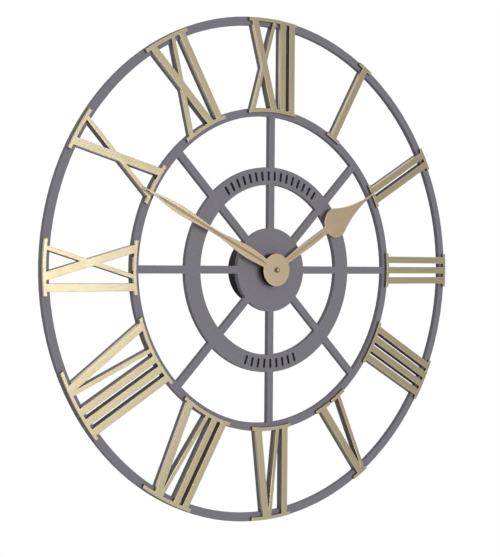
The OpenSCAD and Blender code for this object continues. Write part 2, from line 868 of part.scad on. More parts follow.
module intermediate_wheel() {
    hung() color(ivory) at_spot(intermediate_at) {
        arbor(4, 5);
        leaved(4, fast_pinion_teeth, third_size, meet_turn(intermediate_dir, fast_pinion_teeth));
        toothed(5, intermediate_teeth, fast_size, rotor_dir);
    }
}

module rotor() {
    hung() color(ivory) at_spot(rotor_at) {
        round_bar(case_back + pivot_l, case_inside - pivot_l, pivot_r);
        leaved(5, fast_pinion_teeth, fast_size, meet_turn(rotor_dir, fast_pinion_teeth));
        round_bar(layer(6) + magnet_t, layer(6), magnet_r);
    }
}

module centre_wheel() {
    hung() color(brass) difference() {
        toothed(2, centre_teeth, centre_size, third_dir);
        round_bar(layer(2) + wheel_t + overrun, layer(2) - overrun, thread_r + push_fit);
    }
}

// Minute arbor: rear pivot, seat of the centre wheel, cannon pinion, long front end with its thread
module minute_arbor() {
    hung() color(steel) {
        round_bar(case_back + pivot_l, layer(2), rear_pivot_r);
        round_bar(layer(2) + wheel_t, layer(2), thread_r);
        leaved(1, cannon_teeth, motion_size, motion_dir);
        round_bar(layer(1) + wheel_t, minute_back, arbor_r);
        round_bar(minute_back, minute_face, tenon_r);
        round_bar(minute_face, minute_face - nut_front_t - tip_out, thread_r);
    }
}

// Motion work: the cannon pinion drives the motion wheel, whose pinion drives the hour wheel
motion_turn = meet_turn(motion_dir, motion_teeth);

module motion_wheel() {
    hung() color(ivory) at_spot(motion_at) {
        arbor(0, 1);
        toothed(1, motion_teeth, motion_size, motion_turn);
        leaved(0, motion_pinion_teeth, hour_size, motion_dir + 180);
    }
}

module hour_wheel() {
    hung() color(ivory) difference() {
        union() {
            toothed(0, hour_teeth, hour_size, meet_turn(motion_dir + 180, hour_teeth));
            round_bar(layer(0) + wheel_t, pipe_tip, hour_pipe_r);
        }
        round_bar(layer(0) + wheel_t + overrun, pipe_tip - overrun, arbor_r + running_fit);
    }
}

// Knob that sets the time, geared to the motion wheel
module set_knob() {
    knob_turn = mesh_turn(knob_dir, motion_turn, motion_teeth, cannon_teeth);
    hung() color(black) at_spot(knob_at) {
        round_bar(case_back, case_inside - pivot_l, pivot_r);
        round_bar(cover_back + end_play, layer(1), thread_r);
        leaved(1, cannon_teeth, motion_size, knob_turn, wheel_t);
        facing(cover_back + end_play + knob_t, knob_t) difference() {
            circle(r = knob_r);
            for (k = [0 : knob_grips - 1])
                rotate(k * 360 / knob_grips)
                    translate([knob_r, 0]) circle(r = grip_share * knob_r, $fn = 24);
        }
    }
}

frame();
numeral(0);  // numeral_12
numeral(1);  // numeral_01
numeral(2);  // numeral_02
numeral(3);  // numeral_03
numeral(4);  // numeral_04
numeral(5);  // numeral_05
numeral(6);  // numeral_06
numeral(7);  // numeral_07
numeral(8);  // numeral_08
numeral(9);  // numeral_09
numeral(10);  // numeral_10
numeral(11);  // numeral_11
minute_hand();
hour_hand();
hand_nut();
washer();
hex_nut();
gasket();
drum();
hanger_plate();
hanger_screws();
movement_case();
bushing();
back_cover();
battery();
battery_contacts();
circuit_board();
quartz_crystal();
coil();
stator();
rotor();
intermediate_wheel();
seconds_wheel();
third_wheel();
centre_wheel();
minute_arbor();
motion_wheel();
hour_wheel();
set_knob();
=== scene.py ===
import json
import math

import bmesh
import bpy
from mathutils import Matrix, Vector
from mathutils.bvhtree import BVHTree

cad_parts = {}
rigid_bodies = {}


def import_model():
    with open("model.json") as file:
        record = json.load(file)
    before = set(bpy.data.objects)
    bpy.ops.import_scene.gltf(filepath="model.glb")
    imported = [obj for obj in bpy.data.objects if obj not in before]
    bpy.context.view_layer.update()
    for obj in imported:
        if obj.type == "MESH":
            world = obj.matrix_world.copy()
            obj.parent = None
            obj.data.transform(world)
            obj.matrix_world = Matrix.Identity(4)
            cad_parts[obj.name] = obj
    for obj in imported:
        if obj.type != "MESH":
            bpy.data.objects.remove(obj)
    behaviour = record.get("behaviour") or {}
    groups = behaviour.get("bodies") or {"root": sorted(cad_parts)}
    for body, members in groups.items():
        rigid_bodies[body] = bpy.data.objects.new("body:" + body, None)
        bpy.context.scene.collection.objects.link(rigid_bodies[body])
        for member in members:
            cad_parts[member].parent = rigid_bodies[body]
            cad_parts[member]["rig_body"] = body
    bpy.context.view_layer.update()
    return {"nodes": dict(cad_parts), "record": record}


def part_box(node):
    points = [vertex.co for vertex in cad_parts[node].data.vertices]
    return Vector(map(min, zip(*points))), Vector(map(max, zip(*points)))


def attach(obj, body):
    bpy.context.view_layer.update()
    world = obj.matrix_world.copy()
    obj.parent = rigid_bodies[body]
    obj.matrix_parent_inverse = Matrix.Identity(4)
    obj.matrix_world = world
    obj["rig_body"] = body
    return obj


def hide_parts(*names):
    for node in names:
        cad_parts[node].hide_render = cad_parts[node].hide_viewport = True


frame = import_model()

NODES = frame["nodes"]
SLOTS = {row["node"]: row["material_slot"] for row in frame["record"]["subparts"]}
MM = 0.001
HAND_Z = -29 * MM          # height of the hand axis in the row frame
FACE_Y = -32 * MM          # front face of the dial frame
RING_R = 305 * MM          # outer radius of the dial
EYE_R = 20 * MM            # radius of the eye of each hand

# Faces are told apart by the y of their normals: walls run in depth, flats are parallel to the room's wall,
# and the two sides of a hand's crease lean a little.
WALL_BELOW = 0.3
FLAT_ABOVE = 0.98
CREASE_SLOPE = (0.85, 0.999)

# Darkest and brightest share of a noise texture that a colour or roughness is spread over.
NOISE_RANGE = (0.3, 0.7)
BUMP_DEPTH = 0.1 * MM


# ---------------------------------------------------------------- materials
class Shader:
    """Small helper that builds one node material around a Principled shader."""

    def __init__(self, name):
        self.mat = bpy.data.materials.new(name)
        self.mat.use_nodes = True
        self.tree = self.mat.node_tree
        self.bsdf = self.tree.nodes["Principled BSDF"]
        self.coord = self.tree.nodes.new("ShaderNodeTexCoord")

    def put(self, socket, value):
        self.bsdf.inputs[socket].default_value = value

    def node(self, kind, **values):
        made = self.tree.nodes.new(kind)
        for key, value in values.items():
            setattr(made, key, value)
        return made

    def link(self, a, b):
        self.tree.links.new(a, b)

    def noise(self, scale, detail, roughness=0.55, stretch=(1, 1, 1), vector=None):
        place = self.node("ShaderNodeMapping")
        place.inputs["Scale"].default_value = stretch
        self.link(vector or self.coord.outputs["Object"], place.inputs["Vector"])
        tex = self.node("ShaderNodeTexNoise")
        tex.inputs["Scale"].default_value = scale
        tex.inputs["Detail"].default_value = detail
        tex.inputs["Roughness"].default_value = roughness
        self.link(place.outputs["Vector"], tex.inputs["Vector"])
        return tex.outputs["Fac"]

    def ramp(self, fac, low, high):
        """A colour between low and high, by a noise."""
        made = self.node("ShaderNodeValToRGB")
        first, last = made.color_ramp.elements
        first.position, last.position = NOISE_RANGE
        first.color = (*low, 1)
        last.color = (*high, 1)
        self.link(fac, made.inputs["Fac"])
        return made.outputs["Color"]

    def spread(self, fac, low, high):
        """A value between low and high, by a noise."""
        made = self.node("ShaderNodeMapRange")
        made.inputs["From Min"].default_value, made.inputs["From Max"].default_value = NOISE_RANGE
        made.inputs["To Min"].default_value, made.inputs["To Max"].default_value = low, high
        self.link(fac, made.inputs["Value"])
        return made.outputs["Result"]

    def math(self, op, *values):
        made = self.node("ShaderNodeMath", operation=op)
        for k, value in enumerate(values):
            if isinstance(value, (int, float)):
                made.inputs[k].default_value = value
            else:
                self.link(value, made.inputs[k])
        return made.outputs[0]

    def bump(self, height, strength):
        made = self.node("ShaderNodeBump")
        made.inputs["Strength"].default_value = strength
        made.inputs["Distance"].default_value = BUMP_DEPTH
        self.link(height, made.inputs["Height"])
        self.link(made.outputs["Normal"], self.bsdf.inputs["Normal"])

    def polar(self):
        """Angle and radius about the hand axis, as a vector for a texture."""
        split = self.node("ShaderNodeSeparateXYZ")
        self.link(self.coord.outputs["Object"], split.inputs[0])
        x = split.outputs["X"]
        z = self.math("SUBTRACT", split.outputs["Z"], HAND_Z)
        angle = self.math("ARCTAN2", x, z)
        radius = self.math("SQRT", self.math("ADD", self.math("MULTIPLY", x, x), self.math("MULTIPLY", z, z)))
        join = self.node("ShaderNodeCombineXYZ")
        self.link(angle, join.inputs["X"])
        self.link(radius, join.inputs["Y"])
        self.link(split.outputs["Y"], join.inputs["Z"])
        return join.outputs[0]


def scaled(colour, k):
    return tuple(min(1.0, c * k) for c in colour)


mats = {}


def speckled(name, colour, rough, metal=0.0, vary=0.06, scale=220, grain=1600, bump=0.12, coat=0.0, shine=0.5):
    """Painted, moulded or plated surface: slow mottling, uneven gloss and a fine bump."""
    s = Shader(name)
    slow = s.noise(scale, 4)
    s.link(s.ramp(slow, scaled(colour, 1 - vary), scaled(colour, 1 + vary)), s.bsdf.inputs["Base Color"])
    s.link(s.spread(s.noise(scale * 2.3, 3), rough - 0.05, rough + 0.05), s.bsdf.inputs["Roughness"])
    s.put("Metallic", metal)
    s.put("Coat Weight", coat)
    s.put("Specular IOR Level", shine)
    s.bump(s.noise(grain, 2), bump)
    mats[name] = s.mat


def brushed(name, colour, rough, along, metal=1.0, polar=True, bump=0.1, coat=0.0, warm=(1, 1, 1)):
    """Satin metal with fine lines; polar lines run outward from the hand axis. Darker patches are tinted by warm."""
    vary = 0.07
    s = Shader(name)
    where = s.polar() if polar else s.coord.outputs["Object"]
    lines = s.noise(1.0, 2, 0.5, along, where)
    cloud = s.noise(45, 3)
    tone = s.math("ADD", s.math("MULTIPLY", lines, 0.6), s.math("MULTIPLY", cloud, 0.4))
    low = tuple(a * b for a, b in zip(scaled(colour, 1 - vary), warm))
    high = tuple(min(1.0, a / b) for a, b in zip(scaled(colour, 1 + vary), warm))
    s.link(s.ramp(tone, low, high), s.bsdf.inputs["Base Color"])
    s.link(s.spread(cloud, rough + 0.03, rough - 0.03), s.bsdf.inputs["Roughness"])
    s.put("Metallic", metal)
    s.put("Coat Weight", coat)
    s.put("Coat Roughness", 0.3)
    s.bump(lines, bump)
    mats[name] = s.mat


GREY = (0.215, 0.204, 0.236)
GOLD = (0.80, 0.69, 0.44)
ROSE_GOLD = (0.89, 0.70, 0.455)
PALE_GOLD = (0.86, 0.78, 0.62)
NUMERAL_LINES = (260, 40, 40)      # density of brush lines around, outward and along the hand axis
HAND_LINES = (60, 60, 400)

speckled("frame_paint", GREY, 0.55, vary=0.05, bump=0.15)
brushed("numeral_gold", GOLD, 0.41, NUMERAL_LINES, 0.9, bump=0.02, coat=0.25, warm=(1.02, 0.97, 0.93))
# Painted shade: numeral walls get this darker copy of the numeral gold.
brushed("numeral_wall_painted_shade", (0.62, 0.53, 0.37), 0.41, NUMERAL_LINES, 0.9, bump=0.02)
# Painted shade: numeral walls in gaps, and walls facing the ring slantwise as a painted dark reflection of it.
brushed("gold_gap_painted_shade", (0.27, 0.215, 0.13), 0.5, NUMERAL_LINES, 0.8, bump=0.02)
# Painted shade inside the pierced slots of the frame.
speckled("slot_painted_shade", (0.052, 0.049, 0.056), 0.6, vary=0.15, shine=0.2)
# Painted shade on frame walls between the backs of numeral strokes.
speckled("grey_gap_painted_shade", (0.085, 0.068, 0.055), 0.6, vary=0.15, shine=0.3)
# Deepest painted shade, on numeral walls in the narrowest gaps.
speckled("deep_gap_painted_shade", (0.20, 0.125, 0.047), 0.55, metal=0.4, vary=0.2, shine=0.3)
brushed("hand_gold", ROSE_GOLD, 0.41, HAND_LINES, 0.9, bump=0.03, warm=(1.01, 0.98, 0.95))
# Painted highlight: a pale gold on bevelled front edges.
speckled("pale_highlight_gold", PALE_GOLD, 0.4, metal=0.5, vary=0.08, scale=300)
# Painted shade in the crease of the minute hand, and a lighter one for the hour hand.
brushed("crease_painted_shade", scaled(ROSE_GOLD, 0.56), 0.5, HAND_LINES, 0.8)
brushed("crease_soft_painted_shade", scaled(ROSE_GOLD, 0.72), 0.5, HAND_LINES, 0.8)
# Black eye walls of the hands: partly their own black, partly painted shade of the crescent beside the eye.
speckled("black_rim_and_shade", (0.006, 0.005, 0.003), 0.6, vary=0.2, shine=0.15)
# Painted shade on the sides and recess of the centre nut.
speckled("nut_painted_shade", (0.3, 0.205, 0.1), 0.5, metal=0.4, vary=0.15)
speckled("battery_metal", (0.72, 0.72, 0.70), 0.25, metal=1.0, scale=900)
speckled("battery_band", (0.60, 0.38, 0.12), 0.3, metal=0.8, vary=0.08, coat=0.3)
speckled("drum_black", (0.008, 0.008, 0.009), 0.5, vary=0.2, bump=0.2, shine=0.15)
brushed("brass", (0.72, 0.53, 0.24), 0.3, (600, 2500, 600), polar=False)
speckled("rubber", (0.02, 0.02, 0.02), 0.8, vary=0.2)
speckled("zinc_steel", (0.60, 0.60, 0.61), 0.32, metal=1.0, vary=0.08, scale=900)
speckled("case_plastic", (0.022, 0.022, 0.024), 0.42, vary=0.15, grain=3000, bump=0.25)
speckled("gear_plastic", (0.80, 0.78, 0.70), 0.45, vary=0.04)
speckled("knob_plastic", (0.05, 0.05, 0.055), 0.45, vary=0.12)
speckled("battery_label", (0.05, 0.12, 0.07), 0.35, vary=0.1, coat=0.3)
speckled("board", (0.03, 0.16, 0.07), 0.4, vary=0.15)
brushed("copper_wire", (0.55, 0.22, 0.10), 0.35, (8000, 60, 60), polar=False)

# The arbor's tip shows in the centre nut, where the photo has a pale end.
# The arbor's tip takes the same pale gold as the painted edge highlights.
for name, obj in NODES.items():
    obj.data.materials.clear()
    obj.data.materials.append(mats["pale_highlight_gold" if name == "minute_arbor" else SLOTS[name]])


# ---------------------------------------------------------------- piece helpers
def add_piece(name, bm, node, finishes, keen=40):
    """A bmesh becomes a piece that rides on the body of a CAD node and stands for that node."""
    mesh = bpy.data.meshes.new(name)
    bm.to_mesh(mesh)
    bm.free()
    for finish in finishes:
        mesh.materials.append(mats[finish])
    mesh.shade_smooth()
    mesh.set_sharp_from_angle(angle=math.radians(keen))
    obj = bpy.data.objects.new(name, mesh)
    bpy.context.scene.collection.objects.link(obj)
    even = obj.modifiers.new("even", "WEIGHTED_NORMAL")
    even.keep_sharp = True
    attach(obj, NODES[node]["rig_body"])
    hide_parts(node)


def rounded(node, width, sides, weld=0.04 * MM, edge_finish=0):
    """A copy of a CAD node's shape with the edges of its flat front or back rounded over."""
    bm = bmesh.new()
    bm.from_mesh(NODES[node].data)
    bmesh.ops.remove_doubles(bm, verts=bm.verts, dist=weld)
    bmesh.ops.dissolve_degenerate(bm, edges=bm.edges, dist=weld)
    bmesh.ops.dissolve_limit(bm, angle_limit=math.radians(0.3), verts=bm.verts, edges=bm.edges)
    bm.normal_update()
    keen = []
    for edge in bm.edges:
        if not edge.is_manifold or edge.calc_face_angle(0) < math.radians(35):
            continue
        facing = [face.normal.y for face in edge.link_faces]
        if ("front" in sides and min(facing) < -FLAT_ABOVE) or ("back" in sides and max(facing) > FLAT_ABOVE):
            keen.append(edge)
    made = bmesh.ops.bevel(bm, geom=keen, offset=width, offset_type="OFFSET", segments=2,
                           profile=0.5, affect="EDGES", clamp_overlap=False)
    for face in made["faces"]:
        face.material_index = edge_finish
    bmesh.ops.dissolve_degenerate(bm, edges=bm.edges, dist=0.002 * MM)
    bm.normal_update()
    return bm


def rounded_piece(node, width, *sides):
    """A piece that is a CAD node's shape with rounded edges."""
    add_piece(node + "_detail", rounded(node, width, sides), node, [SLOTS[node]])


def from_axis(point):
    """Distance of a point from the hand axis."""
    return math.hypot(point.x, point.z - HAND_Z)


def is_wall(face):
    return abs(face.normal.y) < WALL_BELOW


# ---------------------------------------------------------------- dial and numerals
NUMERAL_ZONE = (0.6, 1.0)          # shares of RING_R
SLOT_ZONE = (0.3, 0.5)


def paint_gap_shade(bm, reach, finish, zone=NUMERAL_ZONE, ground=None, slope=0):
    """Painted shade: walls that look at another wall, or slantwise at the ground behind them, get a darker finish
    that stands for the shade and dark reflections in the gap.
    """
    tree = ground or BVHTree.FromBMesh(bm)
    for face in bm.faces:
        middle = face.calc_center_median()
        if is_wall(face) and zone[0] < from_axis(middle) / RING_R < zone[1]:
            start = middle + face.normal * 0.05 * MM
            ahead = (face.normal + slope * Vector((0, 1, 0))).normalized()
            if tree.ray_cast(start, ahead, reach)[0] is not None:
                face.material_index = finish


def numeral(node, ground):
    """A numeral with a painted highlight on its front edges, painted shade on its walls, which are darker than its
    brushed face, and deeper painted shade in its narrow gaps.
    """
    finishes = ["numeral_gold", "pale_highlight_gold", "numeral_wall_painted_shade", "gold_gap_painted_shade", "deep_gap_painted_shade"]
    front, edge, wall, shaded, deep = range(len(finishes))
    # The rounded front edges get the pale gold as a painted highlight.
    bm = rounded(node, 0.5 * MM, ("front",), edge_finish=edge)
    # Walls get the darker gold as painted shade.
    for face in bm.faces:
        if face.material_index == front and is_wall(face):
            face.material_index = wall
    # Painted shade: walls facing another stroke, walls facing the ring slantwise as a painted dark reflection, and
    # deepest shade in the narrowest gaps.
    paint_gap_shade(bm, 16 * MM, shaded)
    paint_gap_shade(bm, 8 * MM, shaded, ground=ground, slope=1)
    paint_gap_shade(bm, 9 * MM, deep)
    add_piece(node + "_detail", bm, node, finishes)


def dial_frame():
    """The painted frame, with painted shade on its walls between the backs of numeral strokes and inside the pierced
    slots.
    """
    finishes = ["frame_paint", "grey_gap_painted_shade", "slot_painted_shade"]
    bm = rounded("frame", 0.4 * MM, ("front", "back"))
    # Painted shade on frame walls in narrow gaps and in the slots.
    paint_gap_shade(bm, 6 * MM, finishes.index("grey_gap_painted_shade"))
    paint_gap_shade(bm, 8 * MM, finishes.index("slot_painted_shade"), SLOT_ZONE)
    add_piece("frame_detail", bm, "frame", finishes)


def bare_tree(node):
    """The unchanged shape of a CAD node, for rays."""
    bare = bmesh.new()
    bare.from_mesh(NODES[node].data)
    tree = BVHTree.FromBMesh(bare)
    bare.free()
    return tree


dial_frame()
ring_tree = bare_tree("frame")
for name in sorted(NODES):
    if name.startswith("numeral_"):
        numeral(name, ring_tree)


# ---------------------------------------------------------------- hands
def hand(node, eye_edge, crease):
    """A hand with a painted highlight on its edges, a black wall around its eye that is partly its own black and
    partly painted shade, and the given finishes on the eye's rim and, as painted shade, on the crease.
    """
    finishes = ["hand_gold", "pale_highlight_gold", "black_rim_and_shade", crease]
    gold, edge, black, creased = range(len(finishes))
    face_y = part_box(node)[0].y
    # The rounded edges get the pale gold as a painted highlight.
    bm = rounded(node, 0.55 * MM, ("front",), weld=0.15 * MM, edge_finish=edge)
    for face in bm.faces:
        middle = face.calc_center_median()
        at_eye = from_axis(middle) < EYE_R + 0.3 * MM
        slopes = -CREASE_SLOPE[1] < face.normal.y < -CREASE_SLOPE[0]
        # The walls around the eye are made black, partly their own black and partly painted shade.
        if is_wall(face) and at_eye:
            face.material_index = black
        elif face.material_index == edge and at_eye:
            face.material_index = finishes.index(eye_edge)
        # Painted shade: the sloping faces of the crease get the darker crease finish.
        elif slopes and face.material_index == gold and middle.y > face_y + 0.02 * MM:
            face.material_index = creased
    add_piece(node + "_detail", bm, node, finishes)


hand("hour_hand", eye_edge="black_rim_and_shade", crease="crease_soft_painted_shade")
hand("minute_hand", eye_edge="hand_gold", crease="crease_painted_shade")


# ---------------------------------------------------------------- turned, wound and flat shapes
def bridge(bm, low, high, finish=0):
    """Faces between two rings of corners. A ring of one corner is a pole."""
    count = max(len(low), len(high))
    for k in range(count):
        j = (k + 1) % count
        corners = [low[k % len(low)], low[j % len(low)], high[j % len(high)], high[k % len(high)]]
        corners = list(dict.fromkeys(corners))
        if len(corners) > 2:
            bm.faces.new(corners).material_index = finish


def circle(bm, middle, radius, side, other, steps):
    """A ring of corners in the plane of two directions, or a pole."""
    if radius == 0:
        return [bm.verts.new(middle)]
    turn = 2 * math.pi / steps
    return [bm.verts.new(middle + radius * (math.cos(k * turn) * side + math.sin(k * turn) * other))
            for k in range(steps)]


def lathe(bm, start, along, profile, steps, closed=False):
    """A surface of revolution. profile is a list of (distance along the axis, radius, finish of what follows)."""
    along = Vector(along)
    side = along.orthogonal().normalized()
    other = along.cross(side)
    rings = [circle(bm, Vector(start) + distance * along, radius, side, other, steps)
             for distance, radius, _ in profile]
    pairs = list(zip(rings, rings[1:])) + ([(rings[-1], rings[0])] if closed else [])
    for (low, high), (_, _, finish) in zip(pairs, profile):
        bridge(bm, low, high, finish)
    bmesh.ops.recalc_face_normals(bm, faces=bm.faces)


def wire(bm, path, radius):
    """A round wire along a list of points, closed at both ends."""
    rings = []
    side = None
    for k, point in enumerate(path):
        ahead = (path[min(k + 1, len(path) - 1)] - path[max(k - 1, 0)]).normalized()
        side = (side - side.dot(ahead) * ahead).normalized() if side else ahead.orthogonal().normalized()
        rings.append(circle(bm, point, radius, side, ahead.cross(side), 10))
    for low, high in zip(rings, rings[1:]):
        bridge(bm, low, high)
    bm.faces.new(rings[0][::-1])
    bm.faces.new(rings[-1])
    bmesh.ops.recalc_face_normals(bm, faces=bm.faces)


def soften_rims(bm, ends, width):
    """Rounds the rims of the two end faces of a plate."""
    rims = list(ends[0].edges) + list(ends[1].edges)
    bmesh.ops.bevel(bm, geom=rims, offset=width, segments=2, profile=0.5, affect="EDGES", clamp_overlap=False)


def slab(bm, outline, back, front, soften=0.0):
    """An outline in the plane of the wall, as (x, z) points, made into a plate between two depths."""
    low = [bm.verts.new((x, back, z)) for x, z in outline]
    high = [bm.verts.new((x, front, z)) for x, z in outline]
    ends = [bm.faces.new(low), bm.faces.new(high[::-1])]
    bridge(bm, high, low)
    if soften:
        soften_rims(bm, ends, soften)
    bmesh.ops.recalc_face_normals(bm, faces=bm.faces)


def arc(middle, radius, start, end, steps):
    """Points of an arc in the plane of the wall, between two angles in degrees."""
    angles = [math.radians(start + (end - start) * k / steps) for k in range(steps + 1)]
    return [(middle[0] + radius * math.cos(angle), middle[1] + radius * math.sin(angle)) for angle in angles]


def oblong(x0, z0, x1, z1):
    return [(x0, z0), (x1, z0), (x1, z1), (x0, z1)]


def cross_outline(reach, half):
    """Corner points of a cross, counted around its centre."""
    return [(half, half), (half, reach), (-half, reach), (-half, half), (-reach, half), (-reach, -half),
            (-half, -half), (-half, -reach), (half, -reach), (half, -half), (reach, -half), (reach, half)]


def moved(outline, x, z):
    return [(x + a, z + b) for a, b in outline]


# ---------------------------------------------------------------- clamp, drum and hanger
def centre_nut():
    """A hexagon nut on the minute hand, with painted shade on its sides, front ring and recess around a bright boss.
    """
    low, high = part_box("hand_nut")
    thick = high.y - low.y
    top = high.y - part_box("minute_arbor")[0].y - 0.02 * MM
    bore, boss, rim, corner = 1.22 * MM, 1.75 * MM, 2.8 * MM, 3.3 * MM
    floor_at = thick - 0.8 * MM
    # Finish 1, painted shade, covers the sides, the front ring and the recess.
    profile = [(0, bore, 0), (0, corner, 1), (thick - 0.35 * MM, corner, 1), (thick, rim + 0.2 * MM, 1),
               (thick, rim, 1), (floor_at, rim - 0.2 * MM, 1), (floor_at, boss, 0),
               (top - 0.13 * MM, boss, 0), (top, boss - 0.15 * MM, 0), (top, bore, 0)]
    bm = bmesh.new()
    lathe(bm, (0, high.y, HAND_Z), (0, -1, 0), profile, 48, closed=True)
    sector = math.radians(60)
    for vert in bm.verts:
        reach = from_axis(vert.co)
        if reach > rim + 0.25 * MM:
            angle = math.atan2(vert.co.x, vert.co.z - HAND_Z)
            nearest = sector * round(angle / sector)
            flat = corner * math.cos(sector / 2) / math.cos(angle - nearest)
            scale = min(1, flat / reach)
            vert.co.x *= scale
            vert.co.z = HAND_Z + (vert.co.z - HAND_Z) * scale
    add_piece("centre_nut", bm, "hand_nut", ["hand_gold", "nut_painted_shade"], keen=30)


def screw_heads():
    """Two flush pan heads with cross recesses, and their shanks."""
    low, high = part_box("hanger_screws")
    radius = (high.z - low.z) / 2
    level = (low.z + high.z) / 2
    head_back, head_front, recess = high.y - 0.02 * MM, high.y - 0.5 * MM, high.y - 0.34 * MM
    shank = 1.05 * MM
    length = head_front - low.y
    crown_share = 0.93
    bm = bmesh.new()
    for x in (low.x + radius, high.x - radius):
        lathe(bm, (x, head_front, level), (0, -1, 0),
              [(0, 0, 0), (0, shank, 0), (length - 1.2 * MM, shank, 0), (length, 0, 0)], 24)
        rim = [bm.verts.new((a, head_front, b)) for a, b in arc((x, level), radius, 0, 360, 48)[:-1]]
        shoulder = [bm.verts.new((v.co.x, head_back - 0.12 * MM, v.co.z)) for v in rim]
        crown = [bm.verts.new((x + (v.co.x - x) * crown_share, head_back, level + (v.co.z - level) * crown_share))
                 for v in rim]
        bridge(bm, rim, shoulder)
        bridge(bm, shoulder, crown)
        bm.faces.new(rim[::-1])
        outline = moved(cross_outline(1.25 * MM, 0.24 * MM), x, level)
        lip = [bm.verts.new((a, head_back, b)) for a, b in outline]
        deep = [bm.verts.new((a, recess, b)) for a, b in outline]
        bridge(bm, lip, deep)
        bm.faces.new(deep)
        loops = [bm.edges.get(pair) for ring in (crown, lip) for pair in zip(ring, ring[1:] + ring[:1])]
        bmesh.ops.triangle_fill(bm, use_beauty=True, edges=loops)
    bmesh.ops.recalc_face_normals(bm, faces=bm.faces)
    add_piece("hanger_screw_heads", bm, "hanger_screws", ["zinc_steel"])


centre_nut()
rounded_piece("washer", 0.15 * MM, "front", "back")
rounded_piece("hex_nut", 0.35 * MM, "front")
rounded_piece("gasket", 0.2 * MM, "front", "back")
rounded_piece("drum", 0.5 * MM, "back")
rounded_piece("hanger_plate", 0.25 * MM, "front", "back")
screw_heads()


# ---------------------------------------------------------------- movement, seen from behind
SUNK = 0.1 * MM            # depth to which raised marks reach into their ground


def middle_of(node):
    """The middle of a CAD node's box in the plane of the wall."""
    low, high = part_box(node)
    return (low.x + high.x) / 2, (low.z + high.z) / 2


def turning_arrows(bm, middle, radius, width, back, front, sweep, starts):
    """Raised curved arrows around a point: each an arc band with a head."""
    for start in starts:
        end = start + sweep
        outer = arc(middle, radius + width / 2, start, end, 16)
        inner = arc(middle, radius - width / 2, end, start, 16)
        tip = arc(middle, radius, end + 18, end + 18, 1)[0]
        barb_out = arc(middle, radius + width * 1.3, end, end, 1)[0]
        barb_in = arc(middle, radius - width * 1.3, end, end, 1)[0]
        slab(bm, outer + [barb_out, tip, barb_in] + inner, back, front)


def back_cover():
    """The cover with a raised ring and turning arrows around the knob, ribs, and the cell's minus and plus."""
    low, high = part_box("back_cover")
    knob = middle_of("set_knob")
    bottom, raised = high.y - SUNK, high.y + 0.35 * MM
    bm = rounded("back_cover", 0.35 * MM, ("back",))
    outer, inner = (arc(knob, radius, 0, 360, 72)[:-1] for radius in (7.6 * MM, 6.9 * MM))
    rings = [[bm.verts.new((x, y, z)) for x, z in points]
             for points, y in ((outer, bottom), (outer, raised), (inner, raised), (inner, bottom))]
    for low_ring, high_ring in zip(rings, rings[1:] + rings[:1]):
        bridge(bm, low_ring, high_ring)
    turning_arrows(bm, knob, 8.7 * MM, 0.8 * MM, bottom, raised, 50, (100, 220, 340))
    for row in range(7):
        z = high.z - 7 * MM - row * 2.4 * MM
        rib = oblong(low.x + 5 * MM, z, low.x + 21 * MM, z + 1 * MM)
        slab(bm, rib, bottom, raised, soften=0.12 * MM)
    arm, thin = 2 * MM, 0.45 * MM
    sign_z = low.z + 5 * MM
    slab(bm, moved(oblong(-arm, -thin, arm, thin), low.x + 7 * MM, sign_z), bottom, raised)
    slab(bm, moved(cross_outline(arm, thin), high.x - 7 * MM, sign_z), bottom, raised)
    add_piece("back_cover_detail", bm, "back_cover", ["case_plastic"])


def setting_knob():
    """The knob with two raised turning arrows."""
    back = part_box("set_knob")[1].y
    bm = rounded("set_knob", 0.3 * MM, ("back",))
    turning_arrows(bm, middle_of("set_knob"), 3 * MM, 0.7 * MM, back - SUNK, back + 0.3 * MM, 110, (30, 210))
    add_piece("set_knob_detail", bm, "set_knob", ["knob_plastic"])


def battery_cell():
    """An AA cell: a label with a band, rolled metal ends and the nub of the plus pole."""
    low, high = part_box("battery")
    radius = (high.z - low.z) / 2
    length = high.x - low.x
    nub_r = 2.6 * MM
    body = length - 1.3 * MM
    finishes = ["battery_label", "battery_metal", "battery_band"]
    label, metal, band = range(len(finishes))
    profile = [(0.25 * MM, 0, metal), (0.25 * MM, 3.6 * MM, metal), (0, 4.2 * MM, metal),
               (0, radius - 1.1 * MM, metal), (0.35 * MM, radius - 0.45 * MM, metal),
               (0.9 * MM, radius - 0.25 * MM, label), (1.3 * MM, radius, label),
               (body * 0.7, radius, band), (body - 1.6 * MM, radius, band),
               (body - 0.9 * MM, radius - 0.15 * MM, band), (body - 0.4 * MM, radius - 0.6 * MM, metal),
               (body - 0.3 * MM, radius - 1.6 * MM, metal), (body - 0.9 * MM, radius - 2 * MM, metal),
               (body - 0.9 * MM, nub_r + 0.5 * MM, metal), (body - 0.5 * MM, nub_r, metal),
               (length - 0.3 * MM, nub_r, metal), (length, nub_r - 0.35 * MM, metal), (length, 0, metal)]
    bm = bmesh.new()
    lathe(bm, (low.x, (low.y + high.y) / 2, (low.z + high.z) / 2), (1, 0, 0), profile, 72)
    add_piece("battery_cell", bm, "battery", finishes, keen=30)


